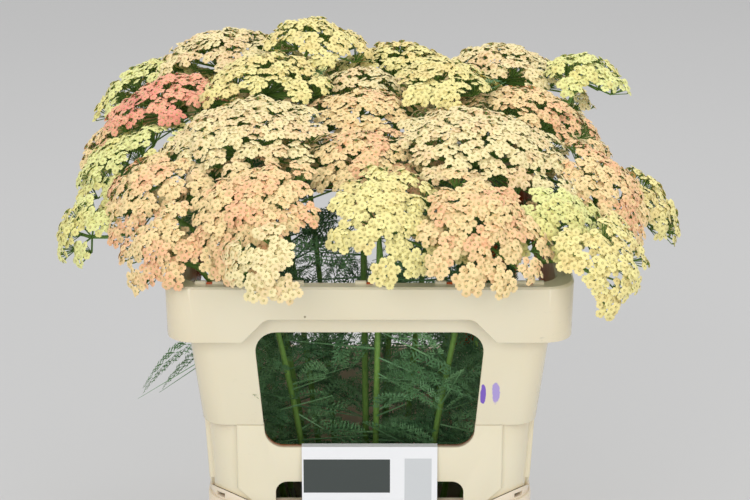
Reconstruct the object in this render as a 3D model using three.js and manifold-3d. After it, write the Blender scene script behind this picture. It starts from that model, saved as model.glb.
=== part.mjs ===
// Cut salmon yarrow in a stackable flower container: a window collar on a base tub, with water, a hanging label card,
// leafy stems and flower heads. Millimetres, +Z up, the front with the card looks along -Y.
// The origin is the middle of the tub's underside.

import * as THREE from 'three';
import { mergeVertices } from 'three/addons/utils/BufferGeometryUtils.js';
import Module from 'manifold-3d';

const wasm = await Module();
wasm.setup();

// Container sizes. Every wall of it is FAR longer in Y than in X, half on each side.
const FAR = 50;
const GAP = 0.3;
const WALL = 3;
const TUB_HEIGHT = 202;
const COLLAR_HEIGHT = 181;
const COLLAR_FOOT_Z = TUB_HEIGHT + GAP;
const RIM_Z = COLLAR_FOOT_Z + COLLAR_HEIGHT;
const RIM_HALF = 150;
const RIM_FLANGE = 12;
const BAND_DEPTH = 43;
const BAND_DEPTH_MIDDLE = 25;
const SKIRT = 2.6;
const BODY_HALF = 134.5;
const POST_STEP_DEPTH = 117;
const POST_HALF = 125.5;
const FOOT_HALF = 122;
const TUB_RIM_HALF = 123.5;
const TUB_FLANGE = 11;
const TUB_BAND_DEPTH = 30;
const TUB_BASE_HALF = 103;
const CORNER_STEPS = 3;
const SLIVER = 0.06;
const WELD = 0.04;

// Windows, given by their half widths at the front wall and their depths under the rim
const WINDOW = { topHalf: 85.5, lowHalf: 77.6, top: 40, low: 135.5, topRound: 17, lowRound: 10.5 };
const NOTCH = { half: 71, height: 17, round: 7 };
const CHAMFER = { slope: 0.5, start: 260.5 };
const SLIT = { width: 7, deep: 14, height: 3, up: 2.6 };

const WATER_DEPTH = 105;
const FLOOR_Z = 4;
const HOLE_PLAY = 0.5;

// Label card: it hooks over the lower edge of the front window
const CARD = { width: 102, height: 78, thick: 0.8, hook: 14, reach: 5.2 };

// Stems and leaves
const STEM_SIDES = 4;
const STEM_FOOT_RADIUS = 2.6;
const STEM_TOP_RADIUS = 1.7;
const TWIG_RADIUS = 0.9;
const TWIGS = 2;
const TWIG_STEP = 2;
const STEM_SPREAD = 0.42;
const FOOT_SPREAD = 0.36;
const PASS_OVER = 5;
const PASS_HALF = 124;
const BOW = 0.06;
const FORK_BEND = 0.45;
const RIM_CLEAR = 12;
const LEAF = { length: 78, half: 14, rib: 1.1, pairs: 4 };
const LEAF_TRIES = 60;
const LEAF_CLEAR = 6;

// Florets, larger than life, and the domed core they stand on
const FLORET = { spacing: 26.3, tip: 13.8, notch: 7.8, notchDrop: 2.2, eyeDrop: 0.7 };
const CORE_DROP = 6;
const CORE_SHARE = 0.86;
const CORE_SIDES = 7;
const CORE_TOP_SHARE = 0.5;
const DOME_RISE = 0.38;
const ROOT_SHARE = 0.78;
const ROOT_ABOVE = 1.5;
const SPIRAL_NEAREST = 1.75;

const PLASTIC = { color: '#ece3c6', roughness: 0.45 };
const TUB_PLASTIC = { color: '#eee0c8', roughness: 0.45 };
const WATER = { color: '#9fb3a8', roughness: 0.08 };
const CARD_STOCK = { color: '#f2f1ee', roughness: 0.6 };
const GREEN = { color: '#4c7a38', roughness: 0.7 };
const PETALS = {
  cream: { color: '#efe4b4', roughness: 0.8 },
  lemon: { color: '#ece6a0', roughness: 0.8 },
  peach: { color: '#eec9a2', roughness: 0.8 },
  salmon: { color: '#ee9f88', roughness: 0.8 },
  green: { color: '#dbe6a4', roughness: 0.8 },
};

// Flower heads: name, x, y, height over the rim, radius, petal colour
const HEADS = [
  ['front_left', -160, -194, 26, 35, 'peach'],
  ['front_dome', -92, -188, 68, 50, 'peach'],
  ['front_low', -78, -252, 34, 29, 'cream'],
  ['front_mid', 8, -204, 64, 43, 'lemon'],
  ['front_peach', 84, -212, 62, 46, 'peach'],
  ['front_right', 146, -180, 50, 36, 'green'],
  ['corner_right', 182, -214, 20, 32, 'lemon'],
  ['left_low', -234, -102, 14, 31, 'green'],
  ['left_peach', -174, -128, 60, 44, 'peach'],
  ['left_green', -214, -38, 56, 42, 'green'],
  ['dome_left', -98, -82, 104, 66, 'cream'],
  ['dome_mid', -6, -124, 84, 44, 'peach'],
  ['dome_right', 88, -104, 100, 68, 'cream'],
  ['right_peach', 190, -106, 55, 46, 'peach'],
  ['right_low', 238, -56, 12, 30, 'lemon'],
  ['salmon', -164, 30, 100, 48, 'salmon'],
  ['left_far', -228, 64, 42, 34, 'peach'],
  ['lemon_left', -84, 14, 122, 48, 'lemon'],
  ['pink_mid', -6, -44, 104, 42, 'peach'],
  ['lemon_mid', 58, -2, 122, 42, 'lemon'],
  ['pink_right', 134, -8, 98, 46, 'peach'],
  ['side_green', 172, 60, 113, 25, 'green'],
  ['far_green', -186, 112, 94, 34, 'green'],
  ['far_left', -120, 104, 122, 54, 'cream'],
  ['far_lemon', -52, 88, 136, 33, 'lemon'],
  ['mid_cream', -8, 34, 108, 36, 'cream'],
  ['far_mid', 26, 118, 108, 50, 'lemon'],
  ['far_right', 110, 88, 114, 48, 'cream'],
  ['back_left', -162, 184, 58, 48, 'cream'],
  ['back_near_left', -66, 192, 78, 50, 'lemon'],
  ['back_mid', 26, 214, 56, 46, 'cream'],
  ['back_near_right', 112, 180, 72, 50, 'peach'],
  ['back_right', 170, 132, 50, 40, 'cream'],
];

// Each stem carries its main head and may fork to a second one.
const STEMS = [
  ['front_left'], ['front_dome', 'front_low'], ['front_mid'], ['front_peach'],
  ['front_right', 'corner_right'], ['left_peach', 'left_low'], ['left_green', 'left_far'],
  ['dome_left'], ['dome_mid'], ['dome_right'], ['right_peach', 'right_low'],
  ['salmon', 'far_green'], ['lemon_left'], ['pink_mid', 'mid_cream'], ['lemon_mid'],
  ['pink_right', 'side_green'], ['far_left', 'far_lemon'], ['far_mid'], ['far_right'],
  ['back_left'], ['back_near_left'], ['back_mid'], ['back_near_right', 'back_right'],
];

const vec = (x, y, z) => new THREE.Vector3(x, y, z);
const UP = vec(0, 0, 1);

// A small seeded generator, so that the same plant grows each time
function seeded(seed) {
  let state = seed;
  return () => {
    state = (state * 1664525 + 1013904223) % 4294967296;
    return state / 4294967296;
  };
}

// Shapes as plain closed skins

function skin(points, faces) {
  const geometry = new THREE.BufferGeometry();
  const flat = points.flatMap((p) => [p.x, p.y, p.z]);
  geometry.setAttribute('position', new THREE.Float32BufferAttribute(flat, 3));
  const volume = faces.reduce((sum, [a, b, c]) => (
    sum + points[a].dot(points[b].clone().cross(points[c]))), 0);
  const outward = volume > 0 ? faces : faces.map(([a, b, c]) => [a, c, b]);
  geometry.setIndex(outward.flat());
  return geometry;
}

// Joins equal rings of points in a row. The ends are closed by flat caps, or the last ring meets the first.
function loft(rings, meets = false) {
  const sides = rings[0].length;
  const faces = [];
  const bands = meets ? rings.length : rings.length - 1;
  for (let i = 0; i < bands; i += 1) {
    const next = (i + 1) % rings.length;
    for (let j = 0; j < sides; j += 1) {
      const k = (j + 1) % sides;
      faces.push([i * sides + j, i * sides + k, next * sides + k]);
      faces.push([i * sides + j, next * sides + k, next * sides + j]);
    }
  }
  if (!meets) {
    const top = (rings.length - 1) * sides;
    for (let j = 1; j < sides - 1; j += 1) {
      faces.push([0, j + 1, j]);
      faces.push([top, top + j, top + j + 1]);
    }
  }
  return skin(rings.flat(), faces);
}

function solid(geometry) {
  geometry.deleteAttribute('normal');
  geometry.deleteAttribute('uv');
  const merged = mergeVertices(geometry, 1e-4);
  return new wasm.Manifold(new wasm.Mesh({
    numProp: 3,
    vertProperties: Float32Array.from(merged.attributes.position.array),
    triVerts: Uint32Array.from(merged.index.array),
  }));
}

function geometryOf(body) {
  const mesh = body.getMesh();
  const geometry = new THREE.BufferGeometry();
  geometry.setAttribute('position', new THREE.BufferAttribute(mesh.vertProperties, 3));
  geometry.setIndex(new THREE.BufferAttribute(mesh.triVerts, 1));
  return geometry;
}

function joined(bodies) {
  return bodies.reduce((whole, body) => whole.add(body));
}

const part = new THREE.Group();

// Joining leaves slivers. They are smoothed away, and corners that all but meet become one.
function cleaned(body) {
  const geometry = geometryOf(body.asOriginal().simplify(SLIVER));
  const spots = [];
  const position = geometry.attributes.position;
  const same = Array.from({ length: position.count }, (_, i) => {
    const spot = new THREE.Vector3().fromBufferAttribute(position, i);
    const near = spots.findIndex((other) => other.distanceTo(spot) < WELD);
    return near < 0 ? spots.push(spot) - 1 : near;
  });
  const corners = Array.from(geometry.index.array, (corner) => same[corner]);
  const faces = [];
  for (let i = 0; i < corners.length; i += 3) {
    const [a, b, c] = corners.slice(i, i + 3);
    if (a !== b && b !== c && c !== a) {
      faces.push([a, b, c]);
    }
  }
  return skin(spots, faces);
}

function place(name, body, look) {
  const material = new THREE.MeshStandardMaterial({ metalness: 0, ...look });
  const mesh = new THREE.Mesh(cleaned(body), material);
  mesh.name = name;
  part.add(mesh);
}

// A level ring with rounded corners; half is its half size in X
function ring(z, half, round) {
  const points = [];
  const corners = [[1, 1], [-1, 1], [-1, -1], [1, -1]];
  corners.forEach(([sx, sy], corner) => {
    for (let step = 0; step <= CORNER_STEPS; step += 1) {
      const angle = (corner + step / CORNER_STEPS) * Math.PI / 2;
      const x = sx * (half - round) + round * Math.cos(angle);
      const y = sy * (half + FAR - round) + round * Math.sin(angle);
      points.push(vec(x, y, z));
    }
  });
  return points;
}

// A rounded outline, wider at the top by nature of its two half widths, pushed through a wall
function opening({ topHalf, lowHalf, top, low, topRound, lowRound }, length) {
  const shape = new THREE.Shape();
  const lean = (topHalf - lowHalf) / (top - low);
  shape.moveTo(-lowHalf + lowRound, low);
  shape.lineTo(lowHalf - lowRound, low);
  shape.quadraticCurveTo(lowHalf, low, lowHalf + lean * lowRound, low + lowRound);
  shape.lineTo(topHalf - lean * topRound, top - topRound);
  shape.quadraticCurveTo(topHalf, top, topHalf - topRound, top);
  shape.lineTo(-topHalf + topRound, top);
  shape.quadraticCurveTo(-topHalf, top, -topHalf + lean * topRound, top - topRound);
  shape.lineTo(-lowHalf - lean * lowRound, low + lowRound);
  shape.quadraticCurveTo(-lowHalf, low, -lowHalf + lowRound, low);
  const geometry = new THREE.ExtrudeGeometry(shape, { depth: length, bevelEnabled: false, curveSegments: 3 });
  geometry.translate(0, 0, -length / 2);
  geometry.rotateX(Math.PI / 2);
  return geometry;
}

function cuboid(width, depth, height, x, y, z) {
  const geometry = new THREE.BoxGeometry(width, depth, height);
  geometry.translate(x, y, z);
  return solid(geometry);
}

// The upside-down pyramid whose four sides shave the collar's foot at its corners
function chamferPyramid(lower) {
  const apex = COLLAR_FOOT_Z - lower - CHAMFER.slope * (CHAMFER.start + FAR / 2);
  const reach = 800;
  const top = apex + CHAMFER.slope * reach;
  const points = [vec(0, 0, apex), vec(reach, 0, top), vec(0, reach, top), vec(-reach, 0, top), vec(0, -reach, top)];
  const faces = [[0, 2, 1], [0, 3, 2], [0, 4, 3], [0, 1, 4], [1, 2, 3], [1, 3, 4]];
  return solid(skin(points, faces));
}

// Half width of the collar's outer wall at a depth under the rim, below the band
function wallHalf(depth) {
  if (depth < POST_STEP_DEPTH) {
    const share = (depth - BAND_DEPTH) / (POST_STEP_DEPTH - BAND_DEPTH);
    return BODY_HALF + (POST_HALF - BODY_HALF) * share;
  }
  const share = (depth - POST_STEP_DEPTH) / (COLLAR_HEIGHT - POST_STEP_DEPTH);
  return POST_HALF + (FOOT_HALF - POST_HALF) * share;
}

function collar() {
  const at = (depth, half, round) => ring(RIM_Z - depth, half, round);
  const inner = RIM_HALF - RIM_FLANGE;
  const rings = [
    at(1.5, RIM_HALF, 25), at(BAND_DEPTH, RIM_HALF - 1, 24), at(BAND_DEPTH, RIM_HALF - 1 - SKIRT, 22),
    at(WALL, RIM_HALF - SKIRT, 23), at(WALL, inner + 1, 18),
    at(BAND_DEPTH, BODY_HALF, 17), at(POST_STEP_DEPTH, POST_HALF, 15),
    at(POST_STEP_DEPTH + 1, POST_HALF, 31), at(COLLAR_HEIGHT, FOOT_HALF, 29),
    at(COLLAR_HEIGHT, FOOT_HALF - WALL, 26), at(POST_STEP_DEPTH + 1, POST_HALF - WALL, 28),
    at(POST_STEP_DEPTH - 3, POST_HALF - WALL, 12), at(BAND_DEPTH, BODY_HALF - WALL, 14),
    at(1.5, inner - 1, 15), at(0, inner + 0.5, 16), at(0, RIM_HALF - 1.5, 24),
  ];
  let body = solid(loft(rings, true));
  const window = {
    ...WINDOW, top: RIM_Z - WINDOW.top, low: RIM_Z - WINDOW.low,
  };
  const notch = {
    topHalf: NOTCH.half, lowHalf: NOTCH.half, top: COLLAR_FOOT_Z + NOTCH.height, low: COLLAR_FOOT_Z - 20,
    topRound: NOTCH.round, lowRound: 1,
  };
  const wider = (outline) => ({
    ...outline, topHalf: outline.topHalf + FAR, lowHalf: outline.lowHalf + FAR,
  });
  const through = 2 * (BODY_HALF + FAR) + 4;
  [window, notch].forEach((outline) => {
    body = body.subtract(solid(opening(outline, through)));
    body = body.subtract(solid(opening(wider(outline), through).rotateZ(Math.PI / 2)));
  });
  [0, 1, 2, 3].forEach((side) => {
    body = body.subtract(bandCut(side));
  });
  return body.intersect(chamferPyramid(0));
}

// The band is shallow in the middle of each side and steps down by a slant near the corners.
function bandCut(side) {
  const isLong = side % 2 === 1;
  const extra = isLong ? FAR : 0;
  const low = RIM_Z - BAND_DEPTH - 2;
  const outline = {
    topHalf: 76 + extra, lowHalf: 96 + extra, top: RIM_Z - BAND_DEPTH_MIDDLE, low, topRound: 3, lowRound: 0.5,
  };
  const depth = SKIRT + 3;
  const face = RIM_HALF + (isLong ? 0 : FAR) - SKIRT / 2;
  const geometry = opening(outline, depth);
  geometry.translate(0, -face, 0);
  geometry.rotateZ(side * Math.PI / 2);
  return solid(geometry);
}

function tub() {
  const flangeInner = TUB_RIM_HALF - TUB_FLANGE;
  const outerWall = flangeInner + WALL;
  const rings = [
    ring(TUB_HEIGHT, TUB_RIM_HALF - 1, 29), ring(TUB_HEIGHT - 1, TUB_RIM_HALF, 30),
    ring(TUB_HEIGHT - TUB_BAND_DEPTH, TUB_RIM_HALF - 0.5, 30),
    ring(TUB_HEIGHT - TUB_BAND_DEPTH, TUB_RIM_HALF - 0.5 - SKIRT, 28),
    ring(TUB_HEIGHT - WALL, TUB_RIM_HALF - SKIRT, 28), ring(TUB_HEIGHT - WALL, outerWall, 25),
    ring(3, TUB_BASE_HALF, 24), ring(0, TUB_BASE_HALF - 3, 21),
  ];
  const shell = solid(loft(rings));
  const room = solid(loft([
    ring(FLOOR_Z, TUB_BASE_HALF - WALL, 21), ring(TUB_HEIGHT + 5, flangeInner + 0.2, 22),
  ]));
  return joined([shell.subtract(room), ...ears()]);
}

// Raised corners of the tub's rim, which follow the shaved corners of the collar, each with a slit in it
function ears() {
  const wall = loft([
    ring(TUB_HEIGHT - 1, FOOT_HALF, 29), ring(TUB_HEIGHT + 14, FOOT_HALF, 29),
    ring(TUB_HEIGHT + 14, FOOT_HALF - WALL, 26), ring(TUB_HEIGHT - 1, FOOT_HALF - WALL, 26),
  ], true);
  const corners = solid(wall).subtract(chamferPyramid(2 * GAP));
  const reach = FOOT_HALF - 29 + 29 * Math.SQRT1_2;
  return [[1, 1], [-1, 1], [-1, -1], [1, -1]].map(([sx, sy]) => {
    const post = cuboid(120, 120, 40, sx * 110, sy * (110 + FAR), TUB_HEIGHT + 10);
    const slit = new THREE.BoxGeometry(SLIT.deep, SLIT.width, SLIT.height);
    slit.rotateZ(Math.atan2(sy, sx));
    slit.translate(sx * reach, sy * (reach + FAR), TUB_HEIGHT + SLIT.up);
    return corners.intersect(post).subtract(solid(slit));
  });
}

function tubInnerHalf(z) {
  const share = (z - FLOOR_Z) / (TUB_HEIGHT + 5 - FLOOR_Z);
  return TUB_BASE_HALF - WALL + (TUB_RIM_HALF - TUB_FLANGE + 0.2 - TUB_BASE_HALF + WALL) * share;
}

function water(holes) {
  const low = FLOOR_Z + GAP;
  const body = solid(loft([
    ring(low, tubInnerHalf(low) - GAP, 21), ring(WATER_DEPTH, tubInnerHalf(WATER_DEPTH) - GAP, 21.5),
  ]));
  return holes.reduce((rest, hole) => rest.subtract(hole), body);
}

function card() {
  const edge = RIM_Z - WINDOW.low;
  const wallOut = -(wallHalf(WINDOW.low) + FAR);
  const front = wallOut - CARD.thick - 0.9;
  const back = front + CARD.thick + CARD.reach;
  const { thick } = CARD;
  const top = edge + GAP + thick;
  const shape = new THREE.Shape();
  [[front, top], [front, top - CARD.height], [front + thick, top - CARD.height], [front + thick, edge + GAP],
    [back, edge + GAP], [back, edge - CARD.hook], [back + thick, edge - CARD.hook], [back + thick, top],
  ].forEach(([y, z], i) => (i ? shape.lineTo(y, z) : shape.moveTo(y, z)));
  const geometry = new THREE.ExtrudeGeometry(shape, { depth: CARD.width, bevelEnabled: false });
  geometry.translate(0, 0, -CARD.width / 2);
  geometry.applyMatrix4(new THREE.Matrix4().makeBasis(vec(0, 1, 0), UP, vec(1, 0, 0)));
  return solid(geometry);
}

// Flower heads

const headOf = Object.fromEntries(HEADS.map(([name, x, y, over, radius, colour]) => {
  const lean = THREE.MathUtils.degToRad(Math.max(4, 76 - 0.62 * over));
  const out = vec(x, y - 10, 0).normalize();
  const axis = UP.clone().multiplyScalar(Math.cos(lean)).addScaledVector(out, Math.sin(lean));
  const centre = vec(x, y, RIM_Z + over);
  const hub = centre.clone().addScaledVector(axis, -(coreUnderside(radius) + 8 + 0.1 * radius));
  return [name, { name, centre, axis, radius, colour, hub }];
}));

// Two directions across an axis
function across(axis) {
  const start = Math.abs(axis.z) > 0.95 ? vec(1, 0, 0) : UP;
  const side = start.clone().cross(axis).normalize();
  return [side, axis.clone().cross(side)];
}

// Places over the dome, in the turns of a sunflower's spiral
function floretPlaces({ centre, axis, radius }) {
  const [u, v] = across(axis);
  const reach = radius - 0.35 * FLORET.tip;
  const count = Math.max(4, Math.round((SPIRAL_NEAREST * reach / FLORET.spacing) ** 2));
  const golden = Math.PI * (3 - Math.sqrt(5));
  const under = coreUnderside(radius);
  const places = [];
  for (let i = 0; i < count; i += 1) {
    const share = Math.sqrt((i + 0.5) / count);
    const dir = u.clone().multiplyScalar(Math.cos(i * golden)).addScaledVector(v, Math.sin(i * golden));
    const drop = DOME_RISE * radius * share * share;
    const spot = centre.clone().addScaledVector(dir, share * reach).addScaledVector(axis, -drop);
    const root = centre.clone()
      .addScaledVector(dir, ROOT_SHARE * share * reach)
      .addScaledVector(axis, ROOT_ABOVE - under);
    const normal = axis.clone().addScaledVector(dir, 1.3 * DOME_RISE * share).normalize();
    places.push({ spot, root, normal, turn: i * golden });
  }
  return places;
}

function floret({ spot, root, normal, turn }) {
  const [u, v] = across(normal);
  const at = (radius, angle, drop) => spot.clone()
    .addScaledVector(u, radius * Math.cos(angle))
    .addScaledVector(v, radius * Math.sin(angle))
    .addScaledVector(normal, -drop);
  const points = [spot.clone().addScaledVector(normal, -FLORET.eyeDrop)];
  points.push(root);
  const faces = [];
  for (let petal = 0; petal < 5; petal += 1) {
    const angle = turn + petal * 2 * Math.PI / 5;
    points.push(at(FLORET.notch, angle, FLORET.notchDrop));
    points.push(at(FLORET.tip, angle + Math.PI / 5, 0));
    const [notch, tip, next] = [2 + 2 * petal, 3 + 2 * petal, 2 + (2 * petal + 2) % 10];
    faces.push([0, notch, tip], [0, tip, next], [notch, next, tip], [1, next, notch]);
  }
  return solid(skin(points, faces));
}

function core({ centre, axis, radius }) {
  const [u, v] = across(axis);
  const level = (share, drop) => {
    const points = [];
    for (let i = 0; i < CORE_SIDES; i += 1) {
      const angle = i * 2 * Math.PI / CORE_SIDES;
      points.push(centre.clone()
        .addScaledVector(u, share * radius * Math.cos(angle))
        .addScaledVector(v, share * radius * Math.sin(angle))
        .addScaledVector(axis, -drop));
    }
    return points;
  };
  return solid(loft([
    level(CORE_SHARE, coreUnderside(radius)),
    level(CORE_TOP_SHARE, DOME_RISE * radius * CORE_TOP_SHARE ** 2 + CORE_DROP),
  ]));
}

// How far under a head's centre its core's flat underside lies
function coreUnderside(radius) {
  return DOME_RISE * radius * CORE_SHARE ** 2 + CORE_DROP;
}

// Stems

// A round rod along a path, without twist. A rod that stands on the floor starts with a level face.
function tube(path, radii, stands = false) {
  let u = null;
  const rings = path.map((spot, i) => {
    const before = path[Math.max(0, i - 1)];
    const after = path[Math.min(path.length - 1, i + 1)];
    const axis = stands && i === 0 ? UP : after.clone().sub(before).normalize();
    u = u ? u.clone().addScaledVector(axis, -u.dot(axis)).normalize() : across(axis)[0];
    const v = axis.clone().cross(u);
    const points = [];
    for (let side = 0; side < STEM_SIDES; side += 1) {
      const angle = side * 2 * Math.PI / STEM_SIDES;
      points.push(spot.clone()
        .addScaledVector(u, radii[i] * Math.cos(angle))
        .addScaledVector(v, radii[i] * Math.sin(angle)));
    }
    return points;
  });
  return solid(loft(rings));
}

// The stem runs straight through the water, passes inside the rim and then leans out to its head.
function stemPath(head) {
  const { centre, hub } = head;
  const foot = vec(FOOT_SPREAD * centre.x, FOOT_SPREAD * centre.y, FLOOR_Z + GAP);
  const spread = STEM_SPREAD * (1 - FOOT_SPREAD) * WATER_DEPTH / RIM_Z;
  const leave = vec(foot.x + spread * centre.x, foot.y + spread * centre.y, WATER_DEPTH + 12);
  const passZ = RIM_Z + PASS_OVER;
  const share = (passZ - leave.z) / (hub.z - leave.z);
  const pass = leave.clone().lerp(hub, share);
  pass.x = THREE.MathUtils.clamp(pass.x, -PASS_HALF, PASS_HALF);
  pass.y = THREE.MathUtils.clamp(pass.y, -PASS_HALF - FAR, PASS_HALF + FAR);
  const middle = leave.clone().lerp(pass, 0.5);
  middle.x -= BOW * (pass.x - leave.x);
  middle.y -= BOW * (pass.y - leave.y);
  const stations = [foot, leave, middle, pass, hub, topOf(head)];
  const run = new THREE.CurvePath();
  for (let i = 1; i < 4; i += 1) {
    run.add(new THREE.LineCurve3(stations[i], stations[i + 1]));
  }
  return { stations, run };
}

// The middle of a head's stalk, just under its core
function topOf({ centre, axis, radius }) {
  return centre.clone().addScaledVector(axis, -(coreUnderside(radius) + GAP));
}

function twigs(head) {
  const { centre, axis, radius, hub } = head;
  const [u, v] = across(axis);
  const end = coreUnderside(radius) + GAP;
  const bodies = [];
  for (let i = 0; i < TWIGS; i += 1) {
    const angle = i * 2.6 + 0.4;
    const tip = centre.clone()
      .addScaledVector(axis, -end)
      .addScaledVector(u, 0.4 * radius * Math.cos(angle))
      .addScaledVector(v, 0.4 * radius * Math.sin(angle));
    bodies.push(twig(hub.clone().addScaledVector(axis, 1 + TWIG_STEP * i), tip, axis));
  }
  return bodies;
}

// A three-sided stalk whose flat end is parallel to the head's underside
function twig(from, to, axis) {
  const [u, v] = across(axis);
  const section = (spot, radius) => [0, 1, 2].map((side) => {
    const angle = side * 2 * Math.PI / 3;
    return spot.clone()
      .addScaledVector(u, radius * Math.cos(angle))
      .addScaledVector(v, radius * Math.sin(angle));
  });
  return solid(loft([section(from, TWIG_RADIUS), section(to, TWIG_RADIUS * 1.3)]));
}

// Leaves: a three-edged rib with a pair of tapering leaflets on each stretch of it

function leafSpine({ root, dir, droop, length }) {
  const spots = [];
  const stretches = LEAF.pairs + 2;
  for (let i = 0; i < stretches; i += 1) {
    const along = length * i / stretches;
    const fall = droop * length * (i / stretches) ** 2;
    spots.push(root.clone().addScaledVector(dir, along).addScaledVector(UP, -fall));
  }
  return spots;
}

function leaf(plan) {
  const spine = leafSpine(plan);
  const side = UP.clone().cross(plan.dir).normalize();
  const points = [];
  const faces = [];
  spine.forEach((spot, i) => {
    const rib = LEAF.rib * (1 - 0.5 * i / (LEAF.pairs + 1));
    points.push(spot.clone().addScaledVector(UP, rib));
    points.push(spot.clone().addScaledVector(side, rib).addScaledVector(UP, -0.5 * rib));
    points.push(spot.clone().addScaledVector(side, -rib).addScaledVector(UP, -0.5 * rib));
  });
  faces.push([0, 2, 1]);
  for (let i = 0; i <= LEAF.pairs; i += 1) {
    const [top, right, left] = [3 * i, 3 * i + 1, 3 * i + 2];
    faces.push([right, left + 3, right + 3], [right, left, left + 3]);
    if (i === 0) {
      faces.push([top, right, right + 3], [top, right + 3, top + 3]);
      faces.push([top, top + 3, left + 3], [top, left + 3, left]);
      continue;
    }
    const reach = LEAF.half * Math.sin(Math.PI * (0.1 + 0.7 * i / LEAF.pairs));
    const step = spine[i + 1].clone().sub(spine[i]);
    [[right, 1], [left, -1]].forEach(([low, sign]) => {
      const tip = spine[i].clone().addScaledVector(step, 1.15)
        .addScaledVector(side, sign * reach)
        .addScaledVector(UP, -0.12 * reach);
      const apex = points.push(tip) - 1;
      const loop = [top, top + 3, low + 3, low];
      loop.forEach((corner, k) => {
        const after = loop[(k + 1) % 4];
        faces.push(sign > 0 ? [corner, apex, after] : [corner, after, apex]);
      });
    });
  }
  const last = 3 * (LEAF.pairs + 1);
  const tail = spine[LEAF.pairs + 1];
  const step = tail.clone().sub(spine[LEAF.pairs]);
  const end = points.push(tail.clone().addScaledVector(step, 1.1)) - 1;
  faces.push([last, last + 1, end], [last + 1, last + 2, end], [last + 2, last, end]);
  return solid(skin(points, faces));
}

// Room already taken, as balls with an owner
const taken = [];

function take(owner, spot, radius) {
  taken.push({ owner, spot, radius });
}

function isClear(owner, spot, radius) {
  return taken.every((ball) => ball.owner === owner
    || ball.spot.distanceTo(spot) > ball.radius + radius);
}

// Inside the container, or well over its rim
function isInside(spot, radius) {
  const depth = RIM_Z - spot.z;
  if (depth < -radius) {
    return true;
  }
  const half = (depth < BAND_DEPTH ? BODY_HALF : wallHalf(Math.min(depth, COLLAR_HEIGHT))) - WALL - 4;
  const bound = spot.z < TUB_HEIGHT ? tubInnerHalf(spot.z) - 3 : half;
  return Math.abs(spot.x) + radius < bound && Math.abs(spot.y) + radius < bound + FAR;
}

// A leaf's room: a ball on its rib and one on each side of it, at each step past its stalk
function leafBalls(plan) {
  const side = UP.clone().cross(plan.dir).normalize();
  return leafSpine(plan).slice(1).flatMap((spot) => [-1, 0, 1].map((sign) => (
    spot.clone().addScaledVector(side, sign * 0.6 * LEAF.half))));
}

function leafFits(owner, plan) {
  return leafBalls(plan).every((spot) => isInside(spot, LEAF_CLEAR) && isClear(owner, spot, LEAF_CLEAR));
}

function growLeaf(owner, run, low, high, random) {
  for (let attempt = 0; attempt < LEAF_TRIES; attempt += 1) {
    const root = run.getPoint(low + (high - low) * random());
    const angle = 2 * Math.PI * random();
    const dir = vec(Math.cos(angle), Math.sin(angle), 0.35 + 0.5 * random()).normalize();
    const plan = { root, dir, droop: 0.25 + 0.3 * random(), length: LEAF.length * (0.75 + 0.35 * random()) };
    if (leafFits(owner, plan)) {
      leafBalls(plan).forEach((spot) => take(owner, spot, LEAF_CLEAR));
      return leaf(plan);
    }
  }
  return null;
}

// A frond that has found its way out through the side window and hangs down outside it
function hangingLeaf(owner, run, { z, dir, droop, length }) {
  let share = 0;
  while (run.getPoint(share).z < z) {
    share += 0.01;
  }
  const plan = { root: run.getPoint(share), dir: dir.clone().normalize(), droop, length };
  leafBalls(plan).forEach((spot) => take(owner, spot, LEAF_CLEAR));
  return leaf(plan);
}

// Build the plant

const HANGING = {
  left_peach: { z: 300, dir: vec(-1, 0.3, 0.3), droop: 0.95, length: 84 },
  left_green: { z: 275, dir: vec(-1, -0.25, 0.1), droop: 0.7, length: 62 },
};

const plants = STEMS.map(([main, side], index) => {
  const name = `stem_${String(index + 1).padStart(2, '0')}`;
  return { name, head: headOf[main], fork: side && headOf[side], ...stemPath(headOf[main]) };
});

plants.forEach(({ name, head, fork, run }) => {
  for (let i = 0; i <= 40; i += 1) {
    take(name, run.getPoint(i / 40), STEM_FOOT_RADIUS);
  }
  [head, fork].filter(Boolean).forEach((carried) => {
    floretPlaces(carried).forEach(({ spot }) => take(carried.name, spot, FLORET.tip));
  });
});

// A side shoot forks off the main stem. It clears the rim where its head hangs outside it.
function forkBody({ stations, fork }) {
  const start = stations[3];
  const bend = start.clone().lerp(fork.hub, FORK_BEND);
  const isOutside = Math.abs(fork.hub.x) > BODY_HALF || Math.abs(fork.hub.y) > BODY_HALF + FAR;
  bend.z = isOutside ? Math.max(bend.z, RIM_Z + RIM_CLEAR) : bend.z + 4;
  return tube([start, bend, fork.hub, topOf(fork)], [1.7, 1.6, 1.4, 1.2]);
}

const random = seeded(11);

plants.forEach((plant, index) => {
  const { name, head, fork, stations, run } = plant;
  const radii = [STEM_FOOT_RADIUS, STEM_FOOT_RADIUS, 2.4, 2.1, STEM_TOP_RADIUS, 1.3];
  const bodies = [tube(stations, radii, true), ...twigs(head)];
  if (fork) {
    bodies.push(forkBody(plant), ...twigs(fork));
  }
  if (HANGING[head.name]) {
    bodies.push(hangingLeaf(name, run, HANGING[head.name]));
  }
  const stretches = index % 3 === 2 ? [[0.3, 0.85]] : [[0.08, 0.5], [0.5, 0.9]];
  stretches.map(([low, high]) => growLeaf(name, run, low, high, random))
    .filter(Boolean)
    .forEach((grown) => bodies.push(grown));
  place(name, joined(bodies), GREEN);
});

Object.values(headOf).forEach((head) => {
  const bodies = [core(head), ...floretPlaces(head).map(floret)];
  place(`head_${head.name}`, joined(bodies), PETALS[head.colour]);
});

const holes = plants.map(({ stations: [foot, leave] }) => {
  const along = leave.clone().sub(foot).normalize();
  const path = [foot.clone().addScaledVector(along, -10), leave];
  return tube(path, [STEM_FOOT_RADIUS + HOLE_PLAY, STEM_FOOT_RADIUS + HOLE_PLAY]);
});

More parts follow.
